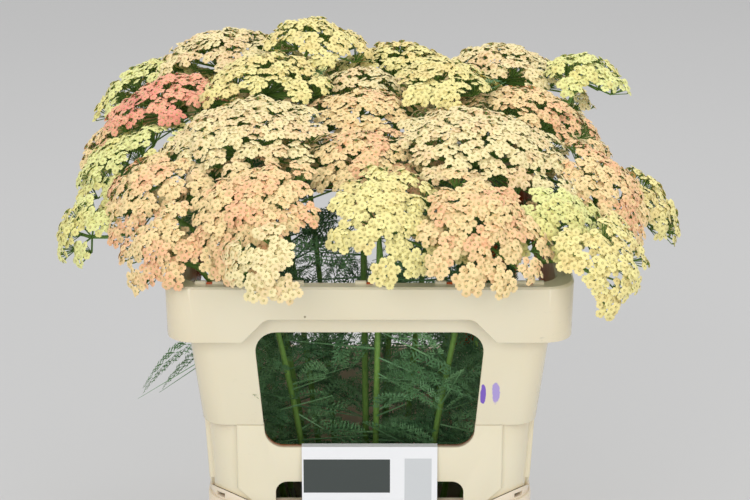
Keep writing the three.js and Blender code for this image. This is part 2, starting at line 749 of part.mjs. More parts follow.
place('tub', tub(), TUB_PLASTIC);
place('collar', collar(), PLASTIC);
place('label_card', card(), CARD_STOCK);
place('water', water(holes), WATER);

export default part;
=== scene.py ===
"""Cut salmon yarrow in a stackable cream flower container, dressed for pictures.

The CAD frame gives every place. Sizes below are in millimetres, with +Z up and the card towards -Y.
"""
import math
import random

import bpy
import numpy as np
from mathutils import Matrix, Vector


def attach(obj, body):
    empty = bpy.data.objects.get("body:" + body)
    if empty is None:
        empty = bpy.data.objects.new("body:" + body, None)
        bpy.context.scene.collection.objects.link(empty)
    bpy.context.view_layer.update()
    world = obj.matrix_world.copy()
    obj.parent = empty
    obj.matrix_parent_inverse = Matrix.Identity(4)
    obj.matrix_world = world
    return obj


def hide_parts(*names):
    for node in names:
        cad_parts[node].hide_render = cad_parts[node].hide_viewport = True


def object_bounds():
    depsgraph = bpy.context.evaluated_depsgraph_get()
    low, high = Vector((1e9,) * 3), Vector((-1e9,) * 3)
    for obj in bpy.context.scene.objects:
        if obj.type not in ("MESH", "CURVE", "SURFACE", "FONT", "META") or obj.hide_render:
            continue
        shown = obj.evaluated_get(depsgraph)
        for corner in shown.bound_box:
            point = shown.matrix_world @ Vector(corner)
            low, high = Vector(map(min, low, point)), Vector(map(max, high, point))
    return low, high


MM = 0.001

# The container, as in the part's source. Every wall is FAR longer in Y than in X.
FAR = 50
GAP = 0.3
WALL = 3
TUB_HEIGHT = 202
COLLAR_HEIGHT = 181
FOOT_Z = TUB_HEIGHT + GAP
RIM_Z = FOOT_Z + COLLAR_HEIGHT
RIM_HALF = 150
BAND_DEPTH = 43
SKIRT = 2.6
BODY_HALF = 134.5
STEP_DEPTH = 117
POST_HALF = 125.5
FOOT_HALF = 122
TUB_RIM_HALF = 123.5
TUB_INNER_HALF = 112.5
TUB_BASE_HALF = 103
FLOOR_Z = 4
WATER_DEPTH = 105
CORNER_SEGMENTS = 9
EDGE_ROUND = 0.7
RECESS = 3.2
CHAMFER_START = 260.5
EAR_HEIGHT = 14
RIM_LIP = 12
BAND_CORNER = 21
FOOT_CORNER = 25
TUB_CORNER = 22
TUB_BAND = 30
EAR_CORNER = 29
EAR_SLIT = (14, 9, 3.4)
PANEL_HALF = 100
PANEL_SLANT = 11
INNER_TOP = 14

# Openings of the collar: half widths at the top and bottom, depths under the rim, and corner rounds
WINDOW_HALF_TOP = 85.5
WINDOW_HALF_LOW = 77.6
WINDOW_TOP = 40
WINDOW_LOW = 135.5
WINDOW_ROUND_TOP = 17
WINDOW_ROUND_LOW = 13
NOTCH_HALF = 71
NOTCH_HEIGHT = 17
NOTCH_ROUND = 9
SHALLOW_TOP = 25
SHALLOW_HALF_TOP = 76
SHALLOW_HALF_LOW = 96

# Rows of nibs on the rim, which hold the next collar: how many to a side, how far apart, and if along Y
NIB_ROWS = ((5, 58.3, False), (6, 60.4, True))
NIB_SHIFT = 6.4
NIB_SIZE = (8.4, 3.4, 3.6)
NIB_SLOT_SIZE = (4.2, 2.6, 1.6)

# Flower heads, as in the part's source: name, x, y, height over the rim, radius, petal colour
HEADS = [
    ("front_left", -160, -194, 26, 35, "peach"),
    ("front_dome", -92, -188, 68, 50, "peach"),
    ("front_low", -78, -252, 34, 29, "cream"),
    ("front_mid", 8, -204, 64, 43, "lemon"),
    ("front_peach", 84, -212, 62, 46, "peach"),
    ("front_right", 146, -180, 50, 36, "green"),
    ("corner_right", 182, -214, 20, 32, "lemon"),
    ("left_low", -234, -102, 14, 31, "green"),
    ("left_peach", -174, -128, 60, 44, "peach"),
    ("left_green", -214, -38, 56, 42, "green"),
    ("dome_left", -98, -82, 104, 66, "cream"),
    ("dome_mid", -6, -124, 84, 44, "peach"),
    ("dome_right", 88, -104, 100, 68, "cream"),
    ("right_peach", 190, -106, 55, 46, "peach"),
    ("right_low", 238, -56, 12, 30, "lemon"),
    ("salmon", -164, 30, 100, 48, "salmon"),
    ("left_far", -228, 64, 42, 34, "peach"),
    ("lemon_left", -84, 14, 122, 48, "lemon"),
    ("pink_mid", -6, -44, 104, 42, "peach"),
    ("lemon_mid", 58, -2, 122, 42, "lemon"),
    ("pink_right", 134, -8, 98, 46, "peach"),
    ("side_green", 172, 60, 113, 25, "green"),
    ("far_green", -186, 112, 94, 34, "green"),
    ("far_left", -120, 104, 122, 54, "cream"),
    ("far_lemon", -52, 88, 136, 33, "lemon"),
    ("mid_cream", -8, 34, 108, 36, "cream"),
    ("far_mid", 26, 118, 108, 50, "lemon"),
    ("far_right", 110, 88, 114, 48, "cream"),
    ("back_left", -162, 184, 58, 48, "cream"),
    ("back_near_left", -66, 192, 78, 50, "lemon"),
    ("back_mid", 26, 214, 56, 46, "cream"),
    ("back_near_right", 112, 180, 72, 50, "peach"),
    ("back_right", 170, 132, 50, 40, "cream"),
]

# Each stem carries its main head and may fork to a second one.
STEMS = [
    ("front_left",), ("front_dome", "front_low"), ("front_mid",), ("front_peach",),
    ("front_right", "corner_right"), ("left_peach", "left_low"), ("left_green", "left_far"),
    ("dome_left",), ("dome_mid",), ("dome_right",), ("right_peach", "right_low"),
    ("salmon", "far_green"), ("lemon_left",), ("pink_mid", "mid_cream"), ("lemon_mid",),
    ("pink_right", "side_green"), ("far_left", "far_lemon"), ("far_mid",), ("far_right",),
    ("back_left",), ("back_near_left",), ("back_mid",), ("back_near_right", "back_right"),
]

UP = Vector((0, 0, 1))
BLACK = "#000000"
WHITE = "#ffffff"
CORNERS = ((-1, -1), (-1, 1), (1, -1), (1, 1))

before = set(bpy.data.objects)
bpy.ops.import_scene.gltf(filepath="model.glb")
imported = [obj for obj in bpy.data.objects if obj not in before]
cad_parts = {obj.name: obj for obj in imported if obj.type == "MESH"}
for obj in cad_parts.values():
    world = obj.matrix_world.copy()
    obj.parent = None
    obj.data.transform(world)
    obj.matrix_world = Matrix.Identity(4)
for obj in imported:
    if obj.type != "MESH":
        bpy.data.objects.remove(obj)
cad_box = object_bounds()


# Small helpers

def linear(code):
    """A colour that a shader socket takes, from an sRGB hex value."""
    shares = [int(code[i:i + 2], 16) / 255 for i in (1, 3, 5)]
    return tuple(c / 12.92 if c <= 0.04045 else ((c + 0.055) / 1.055) ** 2.4 for c in shares) + (1.0,)


def add(tree, kind, values=None, links=None, **settings):
    """Adds a shader node with its settings, its socket values and what feeds its sockets."""
    node = tree.nodes.new(kind)
    for name, value in settings.items():
        setattr(node, name, value)
    for socket, value in (values or {}).items():
        node.inputs[socket].default_value = value
    for socket, source in (links or {}).items():
        tree.links.new(source, node.inputs[socket])
    return node


def ramp(tree, source, stops):
    """A colour ramp over the stops, each a place and a hex colour."""
    node = add(tree, "ShaderNodeValToRGB", links={"Fac": source})
    for _ in stops[2:]:
        node.color_ramp.elements.new(0.5)
    for element, (place, code) in zip(node.color_ramp.elements, stops):
        element.position = place
        element.color = linear(code)
    return node.outputs["Color"]


def feed(tree, socket, value):
    """Gives a shader socket its value: another socket, a hex colour or a number."""
    if isinstance(value, str):
        socket.default_value = linear(value)
    elif isinstance(value, (int, float)):
        socket.default_value = value
    else:
        tree.links.new(value, socket)


def mixed(tree, share, first, second):
    """Mixes two colours."""
    node = add(tree, "ShaderNodeMix", data_type="RGBA")
    for socket, value in ((node.inputs[0], share), (node.inputs[6], first), (node.inputs[7], second)):
        feed(tree, socket, value)
    return node.outputs[2]


def maths(tree, operation, first, second=0.0):
    """One sum on two numbers."""
    node = add(tree, "ShaderNodeMath", operation=operation)
    feed(tree, node.inputs[0], first)
    feed(tree, node.inputs[1], second)
    return node.outputs[0]


def object_place(tree):
    return add(tree, "ShaderNodeTexCoord").outputs["Object"]


def noise(tree, place, scale, **values):
    return add(tree, "ShaderNodeTexNoise", {"Scale": scale, **values}, {"Vector": place}).outputs["Fac"]


def attribute(tree, name):
    return add(tree, "ShaderNodeAttribute", attribute_name=name).outputs["Fac"]


def finish_of(name, **surface):
    """A new material with its shader, and the shader's plain values."""
    material = bpy.data.materials.new(name)
    material.use_nodes = True
    tree = material.node_tree
    shader = tree.nodes["Principled BSDF"]
    for socket, value in surface.items():
        shader.inputs[socket.replace("_", " ")].default_value = value
    return material, tree, shader


def deselect():
    bpy.ops.object.select_all(action="DESELECT")


def taken(name):
    """Names the object that an operator has just made."""
    piece = bpy.context.object
    piece.name = name
    piece.data.name = name
    return piece


def pick(*pieces):
    """Selects the pieces alone, with the first one active."""
    deselect()
    for piece in pieces:
        piece.select_set(True)
    bpy.context.view_layer.objects.active = pieces[0]


def edit(piece, select="SELECT"):
    pick(piece)
    bpy.ops.object.mode_set(mode="EDIT")
    bpy.ops.mesh.select_all(action=select)


def leave():
    bpy.ops.object.mode_set(mode="OBJECT")


def stretch(x, y, z):
    """Resizes what is selected about the origin."""
    bpy.ops.transform.resize(value=(x, y, z), center_override=(0, 0, 0))


def slide(x, y, z):
    bpy.ops.transform.translate(value=(x, y, z))


def copy_of(piece, matrix=None):
    """A copy with its own mesh, moved in the mesh."""
    copy = piece.copy()
    copy.data = piece.data.copy()
    if matrix is not None:
        copy.data.transform(matrix)
    bpy.context.scene.collection.objects.link(copy)
    return copy


def joined(pieces, name):
    pick(*pieces)
    if len(pieces) > 1:
        bpy.ops.object.join()
    return taken(name)


def drop(*pieces):
    for piece in pieces:
        bpy.data.objects.remove(piece)


def mark(piece, name, values):
    """Stores a number on each corner point, for a material to read."""
    mesh = piece.data
    layer = mesh.attributes.get(name) or mesh.attributes.new(name, "FLOAT", "POINT")
    if isinstance(values, (int, float)):
        values = np.full(len(mesh.vertices), values)
    layer.data.foreach_set("value", np.asarray(values, dtype=np.float32))


def points_of(piece):
    spots = np.empty(len(piece.data.vertices) * 3, dtype=np.float32)
    piece.data.vertices.foreach_get("co", spots)
    return spots.reshape(-1, 3)


def select_edges(piece, wanted):
    """Selects the edges whose two ends pass the test."""
    edit(piece, "DESELECT")
    bpy.ops.mesh.select_mode(type="EDGE")
    leave()
    spots = points_of(piece) / MM
    for edge in piece.data.edges:
        first, second = (spots[i] for i in edge.vertices)
        edge.select = bool(wanted(first, second))
    bpy.ops.object.mode_set(mode="EDIT")


def modified(piece, kind, **settings):
    """Adds a modifier with its settings and applies it."""
    pick(piece)
    modifier = piece.modifiers.new(kind.lower(), kind)
    for name, value in settings.items():
        setattr(modifier, name, value)
    bpy.ops.object.modifier_apply(modifier=modifier.name)


def ease(piece):
    """Rounds the sharp edges of a moulding a little, and shades it smooth."""
    modified(piece, "BEVEL", width=EDGE_ROUND * MM, segments=2, limit_method="ANGLE",
             angle_limit=math.radians(50), use_clamp_overlap=True)
    smooth(piece)


def smooth(piece, angle=35):
    pick(piece)
    bpy.ops.object.shade_smooth_by_angle(angle=math.radians(angle))


# Materials of the container

def plastic(name, cream, blush):
    """Polypropylene, injection moulded: a satin cream that has yellowed, with handling marks in its grain."""
    material, tree, shader = finish_of(name, Roughness=0.42, IOR=1.49, Subsurface_Weight=0.08)
    shader.inputs["Subsurface Radius"].default_value = (0.6, 0.4, 0.2)
    shader.inputs["Subsurface Scale"].default_value = 4 * MM
    place = object_place(tree)
    split = add(tree, "ShaderNodeSeparateXYZ", links={"Vector": place})
    cloud = noise(tree, place, 9.0, Detail=3.0)
    base = mixed(tree, ramp(tree, cloud, [(0.42, BLACK), (0.7, WHITE)]), cream, blush)
    # Painted shade: warmer and a little darker towards the sides, where the wall turns away from the light
    side = maths(tree, "ABSOLUTE", maths(tree, "MULTIPLY", split.outputs["X"], 1 / (RIM_HALF * MM)))
    base = mixed(tree, ramp(tree, side, [(0.72, BLACK), (1.0, "#909090")]), base, "#efd9b6")
    # Faint grey rubs, some 8 mm long, and darker specks under a millimetre
    stretch = add(tree, "ShaderNodeMapping", {"Scale": (1, 1, 2.4)}, {"Vector": place})
    rubs = noise(tree, stretch.outputs[0], 85.0, Detail=5.0, Roughness=0.7)
    rub = ramp(tree, rubs, [(0.6, BLACK), (0.78, WHITE)])
    patch = ramp(tree, noise(tree, place, 14.0), [(0.52, BLACK), (0.66, WHITE)])
    weak = maths(tree, "MULTIPLY", maths(tree, "MULTIPLY", rub, patch), 0.42)
    base = mixed(tree, weak, base, "#a9a68f")
    specks = add(tree, "ShaderNodeTexVoronoi", {"Scale": 130.0, "Randomness": 1.0}, {"Vector": place})
    speck = ramp(tree, specks.outputs["Distance"], [(0.1, WHITE), (0.17, BLACK)])
    few = maths(tree, "GREATER_THAN", specks.outputs["Color"], 0.93)
    base = mixed(tree, maths(tree, "MULTIPLY", speck, few), base, "#8f8468")
    # Painted shade: the inner side, in shadow with light coming through the plastic, is painted orange brown
    inner_shade_cloud = noise(tree, place, 22.0, Detail=4.0)
    painted_inner_shade = ramp(tree, inner_shade_cloud, [(0.3, "#7a2a10"), (0.6, "#cc5a22")])
    base = mixed(tree, attribute(tree, "inner"), base, painted_inner_shade)
    tree.links.new(base, shader.inputs["Base Color"])
    grain = ramp(tree, rubs, [(0.3, "#5c5c5c"), (0.8, "#8a8a8a")])
    tree.links.new(grain, shader.inputs["Roughness"])
    return tree, shader, base, split, material


# Each dab: the middle's x and z, half width, half height, ink
VIOLET_DABS = ((84.5, 292.5, 2.3, 9.5, "#7f5fc4"), (94.2, 292.5, 3.6, 9.8, "#b3a2dc"))


def violet_marks(tree, shader, base, split):
    """Two worn violet dabs of marker ink beside the front window."""
    wobble = noise(tree, object_place(tree), 160.0)
    for x, z, wide, high, ink in VIOLET_DABS:
        beside = maths(tree, "DIVIDE", maths(tree, "SUBTRACT", split.outputs["X"], x * MM), wide * MM)
        above = maths(tree, "DIVIDE", maths(tree, "SUBTRACT", split.outputs["Z"], z * MM), high * MM)
        both = add(tree, "ShaderNodeCombineXYZ", links={"X": beside, "Y": above})
        far = add(tree, "ShaderNodeVectorMath", links={0: both.outputs[0]}, operation="LENGTH")
        edge = maths(tree, "ADD", far.outputs["Value"], maths(tree, "ADD", wobble, -0.45))
        dab = ramp(tree, edge, [(0.86, WHITE), (0.98, BLACK)])
        front = maths(tree, "LESS_THAN", split.outputs["Y"], -0.16)
        base = mixed(tree, maths(tree, "MULTIPLY", dab, front), base, ink)
    tree.links.new(base, shader.inputs["Base Color"])


# Each printed field: the middle's x and half width, the middle's z and half height, ink
CARD_FIELDS = ((-17.2, 32.6, 225.2, 13.6, "#3d4442"), (36.5, 10.2, 219.0, 20.5, "#cfd2d4"))


def card_stock():
    """Coated card, printed with a plain charcoal field and a plain grey one on white."""
    material, tree, shader = finish_of("coated_card_printed", Roughness=0.5, IOR=1.5)
    split = add(tree, "ShaderNodeSeparateXYZ", links={"Vector": object_place(tree)})
    base = "#f1f2f4"
    for x, half_wide, z, half_high, ink in CARD_FIELDS:
        within = []
        for axis, middle, half in (("X", x, half_wide), ("Z", z, half_high)):
            away = maths(tree, "ABSOLUTE", maths(tree, "SUBTRACT", split.outputs[axis], middle * MM))
            within.append(maths(tree, "LESS_THAN", away, half * MM))
        base = mixed(tree, maths(tree, "MULTIPLY", *within), base, ink)
    tree.links.new(base, shader.inputs["Base Color"])
    return material


def still_water():
    """Clear water, which takes a faint green from the stems."""
    material, tree, shader = finish_of("still_water", Roughness=0.03, IOR=1.333, Transmission_Weight=0.9)
    drift = noise(tree, object_place(tree), 16.0)
    murk = ramp(tree, drift, [(0.3, "#c8d6c4"), (0.7, "#dfe6d8")])
    tree.links.new(murk, shader.inputs["Base Color"])
    return material


# Materials of the plant

def petal(name, colour, blush, deep):
    """Ray petals: matt, slightly see-through cells. They pale towards the tip and blush in places."""
    material, tree, shader = finish_of(name, Roughness=0.62, IOR=1.42)
    shader.inputs["Sheen Weight"].default_value = 0.15
    along = attribute(tree, "along")
    tint = attribute(tree, "tint")
    share = maths(tree, "MULTIPLY", noise(tree, object_place(tree), 26.0), tint)
    turned = ramp(tree, share, [(0.16, BLACK), (0.5, WHITE)])
    tip = mixed(tree, turned, colour, blush)
    root = mixed(tree, 0.38, tip, deep)
    reach = ramp(tree, along, [(0.3, BLACK), (0.62, WHITE)])
    ray = mixed(tree, reach, root, tip)
    is_disc = ramp(tree, along, [(0.2, WHITE), (0.26, BLACK)])
    disc = mixed(tree, tint, "#e6da9a", "#d9c27e")
    whole = mixed(tree, is_disc, ray, disc)
    is_cup = maths(tree, "LESS_THAN", along, -0.01)
    whole = mixed(tree, is_cup, whole, "#6f8a45")
    tree.links.new(whole, shader.inputs["Base Color"])
    return material


def greenery():
    """Living stems and leaves: ribbed pale green stems, and darker feathery leaves with a soft bloom."""
    material, tree, shader = finish_of("stems_and_leaves", Roughness=0.55, IOR=1.4)
    blade = attribute(tree, "blade")
    tint = attribute(tree, "tint")
    place = object_place(tree)
    stretch = add(tree, "ShaderNodeMapping", {"Scale": (1, 1, 0.15)}, {"Vector": place})
    ribs = noise(tree, stretch.outputs[0], 900.0, Detail=1.0)
    stalk = mixed(tree, ribs, "#4f8034", "#86a853")
    leafy = mixed(tree, noise(tree, place, 60.0), "#2c5433", "#5c8b5c")
    leafy = mixed(tree, tint, leafy, "#86b47c")
    tree.links.new(mixed(tree, blade, stalk, leafy), shader.inputs["Base Color"])
    return material


# The container's pieces

def set_halves(half_from, half_to):
    """Takes the selected level ring from one half width to another."""
    stretch(half_to / half_from, (half_to + FAR) / (half_from + FAR), 1)


def walled_ring(name, levels, corner, floors=False):
    """A wall drawn as a rounded oblong, and pulled through its levels of half width and height."""
    half, z = levels[0]
    bpy.ops.mesh.primitive_plane_add(size=2 * MM)
    piece = taken(name)
    edit(piece)
    stretch(half, half + FAR, 1)
    slide(0, 0, z * MM)
    bpy.ops.mesh.bevel(offset=corner * MM, offset_type="OFFSET", segments=CORNER_SEGMENTS, affect="VERTICES")
    bpy.ops.mesh.delete(type="ONLY_FACE")
    leave()
    count = len(piece.data.vertices)
    edit(piece)
    for (last_half, last_z), (half, z) in zip(levels, levels[1:]):
        bpy.ops.mesh.extrude_region_move(TRANSFORM_OT_translate={"value": (0, 0, (z - last_z) * MM)})
        set_halves(last_half, half)
    leave()
    total = len(piece.data.vertices)
    rings = [range(count), range(total - count, total)]
    for chosen in ([rings[0]], [rings[1]]) if floors else (rings,):
        edit(piece, "DESELECT")
        leave()
        for ring in chosen:
            for i in ring:
                piece.data.vertices[i].select = True
        bpy.ops.object.mode_set(mode="EDIT")
        bpy.ops.mesh.select_mode(type="VERT")
        if floors:
            bpy.ops.mesh.edge_face_add()
        else:
            bpy.ops.mesh.bridge_edge_loops()
        leave()
    edit(piece)
    bpy.ops.mesh.normals_make_consistent(inside=False)
    leave()
    return piece


def cutter(half_top, half_low, top, low, long, round_top, round_low, turned=False):
    """A long bar with the outline of an opening, rounded at its four edges, to cut through two walls."""
    bpy.ops.mesh.primitive_cube_add(size=1)
    piece = taken("cutter")
    edit(piece)
    bpy.ops.transform.resize(value=(2 * half_top * MM, long * MM, (top - low) * MM))
    slide(0, 0, (top + low) / 2 * MM)
    leave()
    middle = (top + low) / 2
    for above, round_by in ((False, round_low), (True, round_top)):
        def is_wanted(first, second, above=above):
            return abs(first[1] - second[1]) > 1 and (first[2] > middle) == above
        if not above:
            select_edges(piece, is_wanted)
            stretch(half_low / half_top, 1, 1)
            leave()
        select_edges(piece, is_wanted)
        bpy.ops.mesh.bevel(offset=round_by * MM, segments=8, affect="EDGES")
        leave()
    if turned:
        piece.data.transform(Matrix.Rotation(math.pi / 2, 4, "Z"))
    return piece


def cut(piece, *tools):
    for tool in tools:
        modified(piece, "BOOLEAN", operation="DIFFERENCE", solver="EXACT", object=tool)


def block(name, size, place, turn=0.0, rounding=0.0):
    """A small moulded block, with its edges eased."""
    bpy.ops.mesh.primitive_cube_add(size=1)
    piece = taken(name)
    edit(piece)
    bpy.ops.transform.resize(value=[s * MM for s in size])
    if rounding:
        bpy.ops.mesh.bevel(offset=rounding * MM, segments=2, affect="EDGES")
    leave()
    piece.data.transform(Matrix.Translation(Vector(place) * MM) @ Matrix.Rotation(turn, 4, "Z"))
    return piece


def foot_panel(side, turned):
    """A flat wall panel of the collar's lower part. It stands proud of the corner posts beside it."""
    half_wide = PANEL_HALF + (FAR if turned else 0)
    far = 0 if turned else FAR
    top, low = RIM_Z - STEP_DEPTH - 0.3, FOOT_Z
    thick = RECESS + WALL - 0.4
    panel = block("panel", (2 * half_wide, thick, top - low), (0, 0, (top + low) / 2))
    panel.data.transform(Matrix.Translation((0, (POST_HALF + far - thick / 2) * MM, 0)))
    select_edges(panel, lambda first, second: first[2] < low + 1 and second[2] < low + 1)
    slide(0, (FOOT_HALF - POST_HALF) * MM, 0)
    leave()
    select_edges(panel, lambda first, second: first[2] < low + 1 and second[2] < low + 1
                 and abs(first[1] - second[1]) > 1)
    bpy.ops.mesh.bevel(offset=PANEL_SLANT * MM, segments=1, affect="EDGES")
    leave()
    select_edges(panel, lambda first, second: min(first[1], second[1]) > FOOT_HALF + far - 1
                 and abs(first[0] - second[0]) < 20 and abs(first[2] - second[2]) > 5)
    bpy.ops.mesh.bevel(offset=1.8 * MM, segments=3, affect="EDGES")
    leave()
    quarter = (0 if side > 0 else 2) + (1 if turned else 0)
    panel.data.transform(Matrix.Rotation(quarter * math.pi / 2, 4, "Z"))
    return panel


def corner_wedge(sx, sy, shift=0.0):
    """A block under the slanted plane that shaves a lower corner of the collar."""
    normal = Vector((sx, sy, -2)).normalized()
    base = (CHAMFER_START - FAR) / 2
    size = 80
    wedge = block("wedge", (size, size, size), (0, 0, 0))
    spot = Vector((sx * base, sy * (base + FAR), FOOT_Z)) + normal * (size / 2 + shift)
    wedge.data.transform(Matrix.Translation(spot * MM) @ normal.to_track_quat("Z", "Y").to_matrix().to_4x4())
    return wedge


def mark_inner(piece, half_at, corner):
    """Marks the points that lie inside the wall's outer face, under the rim's lip."""
    values = []
    for x, y, z in points_of(piece) / MM:
        half = half_at(z) - corner
        over_x, over_y = abs(x) - half, abs(y) - half - FAR
        beyond = math.hypot(max(over_x, 0), max(over_y, 0)) + min(max(over_x, over_y), 0) - corner
        values.append(1.0 if beyond < -WALL * 0.6 and z < RIM_Z - INNER_TOP else 0.0)
    mark(piece, "inner", values)


def outer_half(depth):
    """Half width of the collar's outer wall at a depth under the rim, below the band."""
    if depth < STEP_DEPTH:
        return BODY_HALF + (POST_HALF - BODY_HALF) * (depth - BAND_DEPTH) / (STEP_DEPTH - BAND_DEPTH)
    return POST_HALF + (FOOT_HALF - POST_HALF) * (depth - STEP_DEPTH) / (COLLAR_HEIGHT - STEP_DEPTH)


def cut_openings(upper, lower):
    """Cuts the windows and notches through all four walls."""
    reach = 2 * (BODY_HALF + FAR) + 8
    window = (RIM_Z - WINDOW_TOP, RIM_Z - WINDOW_LOW, reach, WINDOW_ROUND_TOP, WINDOW_ROUND_LOW)
    notch = (FOOT_Z + NOTCH_HEIGHT, FOOT_Z - 20, reach, NOTCH_ROUND, 1)
    windows = [cutter(WINDOW_HALF_TOP, WINDOW_HALF_LOW, *window),
               cutter(WINDOW_HALF_TOP + FAR, WINDOW_HALF_LOW + FAR, *window, turned=True)]
    notches = [cutter(NOTCH_HALF, NOTCH_HALF, *notch),
               cutter(NOTCH_HALF + FAR, NOTCH_HALF + FAR, *notch, turned=True)]
    cut(upper, *windows)
    cut(lower, *windows, *notches)
    return [*windows, *notches]


def cut_shallow_band(upper):
    """Makes the band shallow in the middle of each side, with a slant at both ends."""
    for long in (0, FAR):
        face = RIM_HALF + (0 if long else FAR) - SKIRT / 2
        for side in (-1, 1):
            band = cutter(SHALLOW_HALF_TOP + long, SHALLOW_HALF_LOW + long, RIM_Z - SHALLOW_TOP,
                          RIM_Z - BAND_DEPTH - 3, SKIRT + 3, 4, 0.5)
            band.data.transform(Matrix.Translation((0, side * face * MM, 0)))
            if long:
                band.data.transform(Matrix.Rotation(math.pi / 2, 4, "Z"))
            cut(upper, band)
            drop(band)


def rim_nibs(edge):
    """The nibs on the rim, in pairs, and a block between the two of each pair, painted orange brown as the
    shade in the slot there.
    """
    nibs = []
    shaded_slots = []
    for count, pitch, turned in NIB_ROWS:
        for i in range(count):
            along = (i - (count - 1) / 2) * pitch
            for side in (-1, 1):
                far = side * (edge if turned else edge + FAR)
                for shift in (-NIB_SHIFT, 0, NIB_SHIFT):
                    size = NIB_SIZE if shift else NIB_SLOT_SIZE
                    spot = (far, along + shift, RIM_Z + 0.4) if turned else (along + shift, far, RIM_Z + 0.4)
                    nib = block("nib", size, spot, math.pi / 2 if turned else 0, 0.7 if shift else 0.2)
                    (nibs if shift else shaded_slots).append(nib)
    for nib in nibs:
        mark(nib, "inner", 0.0)
    # Painted shade: each slot block is marked inner, so it takes the painted orange-brown shade of the slot
    for slot in shaded_slots:
        mark(slot, "inner", 1.0)
    return [*nibs, *shaded_slots]


def collar(material):
    """The collar: a banded upper wall, and a lower wall with flat panels between recessed corner posts."""
    inner = RIM_HALF - RIM_LIP
    top = [(RIM_HALF - 1 - SKIRT, BAND_DEPTH), (RIM_HALF - 1, BAND_DEPTH), (RIM_HALF, 1.5),
           (RIM_HALF - 1.5, 0), (inner + 0.5, 0), (inner - 1, 1.5), (inner - 1.6, 6),
           (BODY_HALF - WALL, BAND_DEPTH),
           (POST_HALF - WALL, STEP_DEPTH - 2), (POST_HALF - WALL, STEP_DEPTH), (POST_HALF, STEP_DEPTH),
           (BODY_HALF, BAND_DEPTH), (inner + 1, WALL), (RIM_HALF - SKIRT, WALL)]
    upper = walled_ring("collar_top", [(half, RIM_Z - depth) for half, depth in top], BAND_CORNER)
    foot, step = FOOT_HALF - RECESS, POST_HALF - RECESS
    low = [(foot, COLLAR_HEIGHT), (step, STEP_DEPTH - 0.6), (step - WALL, STEP_DEPTH - 0.6),
           (foot - WALL, COLLAR_HEIGHT)]
    lower = walled_ring("collar_low", [(half, RIM_Z - depth) for half, depth in low], FOOT_CORNER)
    for turned in (False, True):
        for side in (-1, 1):
            panel = foot_panel(side, turned)
            modified(lower, "BOOLEAN", operation="UNION", solver="EXACT", object=panel)
            drop(panel)
    cutters = cut_openings(upper, lower)
    cut_shallow_band(upper)
    for sx, sy in CORNERS:
        wedge = corner_wedge(sx, sy)
        cut(lower, wedge)
        drop(wedge)
    drop(*cutters)
    for piece in (upper, lower):
        ease(piece)
    nibs = rim_nibs(inner + 2.4)
    # The points inside the wall, under the lip, are marked to take the painted orange-brown inner shade
    for piece, corner, recess in ((upper, BAND_CORNER, 0), (lower, FOOT_CORNER, RECESS)):
        def half_at(z, recess=recess):
            return outer_half(RIM_Z - z) - recess if z < RIM_Z - BAND_DEPTH - 0.5 else BODY_HALF + 0.6
        mark_inner(piece, half_at, corner)
    whole = joined([upper, lower, *nibs], "collar_shell")
    return dressed(whole, material, "collar_plastic", "collar")


def tub(material):
    """The base tub, with its floor, its rim and the raised corners of the rim."""
    wall = TUB_INNER_HALF + WALL
    rim = TUB_RIM_HALF
    levels = [(TUB_BASE_HALF - 3, 0), (TUB_BASE_HALF, 3), (wall, TUB_HEIGHT - WALL),
              (rim - SKIRT, TUB_HEIGHT - WALL), (rim - 0.5 - SKIRT, TUB_HEIGHT - TUB_BAND),
              (rim - 0.5, TUB_HEIGHT - TUB_BAND), (rim, TUB_HEIGHT - 1), (rim - 1, TUB_HEIGHT),
              (TUB_INNER_HALF + 1, TUB_HEIGHT),
              (TUB_INNER_HALF, TUB_HEIGHT - 1), (TUB_BASE_HALF - WALL, FLOOR_Z)]
    shell = walled_ring("tub_shell", levels, TUB_CORNER, floors=True)
    pieces = [shell, *tub_ears()]
    for piece in pieces:
        ease(piece)
    whole = joined(pieces, "tub_shell")
    mark(whole, "inner", 0.0)
    return dressed(whole, material, "tub_plastic", "tub")


def tub_ears():
    """The raised corners of the tub's rim, which follow the collar's shaved corners, each with a slit."""
    top = TUB_HEIGHT + EAR_HEIGHT
    inner = FOOT_HALF - WALL
    levels = [(FOOT_HALF, TUB_HEIGHT - 1), (FOOT_HALF, top), (inner, top), (inner, TUB_HEIGHT - 1)]
    whole = walled_ring("ears", levels, EAR_CORNER)
    reach = FOOT_HALF - EAR_CORNER + EAR_CORNER * math.sqrt(0.5)
    ears = []
    for sx, sy in CORNERS:
        ear = copy_of(whole)
        wedge = corner_wedge(sx, sy, 0.6)
        modified(ear, "BOOLEAN", operation="INTERSECT", solver="EXACT", object=wedge)
        spot = (sx * reach, sy * (reach + FAR), TUB_HEIGHT + 2.8)
        slit = block("slit", EAR_SLIT, spot, math.atan2(sy, sx))
        cut(ear, slit)
        drop(wedge, slit)
        ears.append(ear)
    drop(whole)
    return ears


def dressed(piece, material, slot, *nodes):
    """Gives a piece its material, hangs it under the root body and hides the CAD parts given."""
    piece.data.materials.clear()
    piece.data.materials.append(material)
    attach(piece, "root")
    if nodes:
        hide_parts(*nodes)
    return piece


# Flower heads

DOME_RISE = 0.38
CORE_SHARE = 0.86
CORE_DEPTH = 6
GOLDEN = math.pi * (3 - math.sqrt(5))


def core_underside(radius):
    """How far a head's green underside lies below its top."""
    return DOME_RISE * radius * CORE_SHARE ** 2 + CORE_DEPTH


